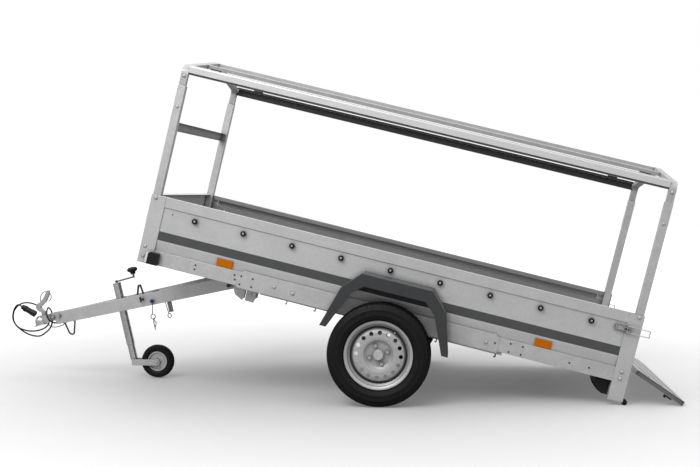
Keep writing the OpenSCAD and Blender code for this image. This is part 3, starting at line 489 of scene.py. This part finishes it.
def tyre_outline():
    """The tyre's closed section as (radius, distance from its middle)."""
    wall = [(0.1700, 0.0345), (0.1700, 0.0500), (0.1742, 0.0533), (0.1825, 0.0550), (0.1845, 0.0600),
            (0.1870, 0.0625), (0.1885, 0.0640), (0.1900, 0.0690), (0.2000, 0.0733), (0.2080, 0.0758),
            (0.2100, 0.0768), (0.2130, 0.0768), (0.2150, 0.0762), (0.2250, 0.0765), (0.2350, 0.0750),
            (0.2370, 0.0757), (0.2395, 0.0752), (0.2410, 0.0735)]
    shoulder = [(0.2500, 0.0710), (0.2570, 0.0690), (0.2610, 0.0660), (0.2665, 0.0640), (0.2695, 0.0600),
                (0.2712, 0.0540), (0.2722, 0.0460), (0.2726, 0.0385)]
    grooves = [(0.2660, 0.0380), (0.2660, 0.0310), (0.2728, 0.0305), (0.2731, 0.0160),
               (0.2670, 0.0155), (0.2670, 0.0085), (0.2732, 0.0080)]
    half = wall + shoulder + grooves
    lining = [(0.1930, 0.0480), (0.2220, 0.0640), (0.2480, 0.0610), (0.2590, 0.0450)]
    mirrored_half = [(r, -y) for r, y in reversed(half)]
    mirrored_lining = [(r, -y) for r, y in lining]
    return half + mirrored_half + mirrored_lining + lining[::-1]


def tread(r, y, k):
    """Cross grooves in the tread's ribs and small nicks on the shoulders."""
    if r > RIB_FROM and (k + int(abs(y) * RIB_SLANT)) % RIB_PERIOD < RIB_WIDTH:
        return r - RIB_CUT
    if NICK_FROM < r <= RIB_FROM and abs(y) > NICK_Y and k % RIB_PERIOD < NICK_WIDTH:
        return r - NICK_CUT
    return r


for side, s in SIDES:
    place = Matrix.Translation((AXLE.x, s * HALF_TRACK, AXLE.z)) @ Matrix.Rotation(QUARTER, 4, "X")
    made = turned(f"tyre_{side}_tread", tyre_outline(), "tyre", f"wheel_{side}", place,
                  TREAD_STEPS, tread, closed=True)
    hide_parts(f"tyre_{side}")

# ---- floor ----
FLOOR_HALF = 30
floor_mesh = bpy.data.meshes.new("floor")
floor_mesh.from_pydata(
    [(-FLOOR_HALF, -FLOOR_HALF, 0), (FLOOR_HALF, -FLOOR_HALF, 0),
     (FLOOR_HALF, FLOOR_HALF, 0), (-FLOOR_HALF, FLOOR_HALF, 0)], [], [(0, 1, 2, 3)])
floor = bpy.data.objects.new("floor", floor_mesh)
bpy.context.scene.collection.objects.link(floor)
floor_paint = material("floor_paint", (0.48, 0.48, 0.48), 0.7, grain=4, vary=0.01, rough_vary=0.03)
tree = floor_paint.node_tree
seen = tree.nodes.new("ShaderNodeLightPath").outputs["Is Camera Ray"]
# bounced light sees a darker floor, so that undersides stay in shade
darkened(tree, ramp(tree, seen, 0.46, 1.0, 0.0, 1.0))
# and the floor glows more with distance, until it fades into the white backdrop
away = tree.nodes.new("ShaderNodeVectorMath")
away.operation = "LENGTH"
tree.links.new(object_place(tree), away.inputs[0])
glow = maths(tree, "MULTIPLY", seen, ramp(tree, away.outputs["Value"], 0.12, 0.7, 1.2, 5.0))
shader = tree.nodes["Principled BSDF"]
shader.inputs["Emission Color"].default_value = (1, 1, 1, 1)
tree.links.new(glow, shader.inputs["Emission Strength"])
floor_mesh.materials.append(floor_paint)
floor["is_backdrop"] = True

# ---- light ----
# a white backdrop, with light that falls off from above towards the horizon
world = bpy.data.worlds.new("world")
bpy.context.scene.world = world
world.use_nodes = True
tree = world.node_tree
direction = tree.nodes.new("ShaderNodeSeparateXYZ")
tree.links.new(tree.nodes.new("ShaderNodeTexCoord").outputs["Generated"], direction.inputs["Vector"])
fall = ramp(tree, direction.outputs["Z"], 0.42, 1.05, -0.05, 0.8)
seen = tree.nodes.new("ShaderNodeLightPath").outputs["Is Camera Ray"]
tree.nodes["Background"].inputs["Color"].default_value = (1, 1, 1, 1)
tree.links.new(maths(tree, "MAXIMUM", fall, seen), tree.nodes["Background"].inputs["Strength"])
bpy.context.scene.view_settings.view_transform = "Standard"


def light(name, place, aim, size, power):
    """A rectangular lamp at its place, turned towards its aim."""
    data = bpy.data.lights.new(name, "AREA")
    data.shape = "RECTANGLE"
    data.size, data.size_y = size
    data.energy = power
    made = bpy.data.objects.new(name, data)
    bpy.context.scene.collection.objects.link(made)
    made.location = place
    made.rotation_mode = "QUATERNION"
    made.rotation_quaternion = (Vector(aim) - Vector(place)).to_track_quat("-Z", "Y")


light("key", (-2.5, -5.0, 6.0), (0, 0, 0.6), (5, 3), 260)
light("top", (1.0, 1.0, 6.5), (0, 0, 0), (6, 4), 90)

low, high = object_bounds()
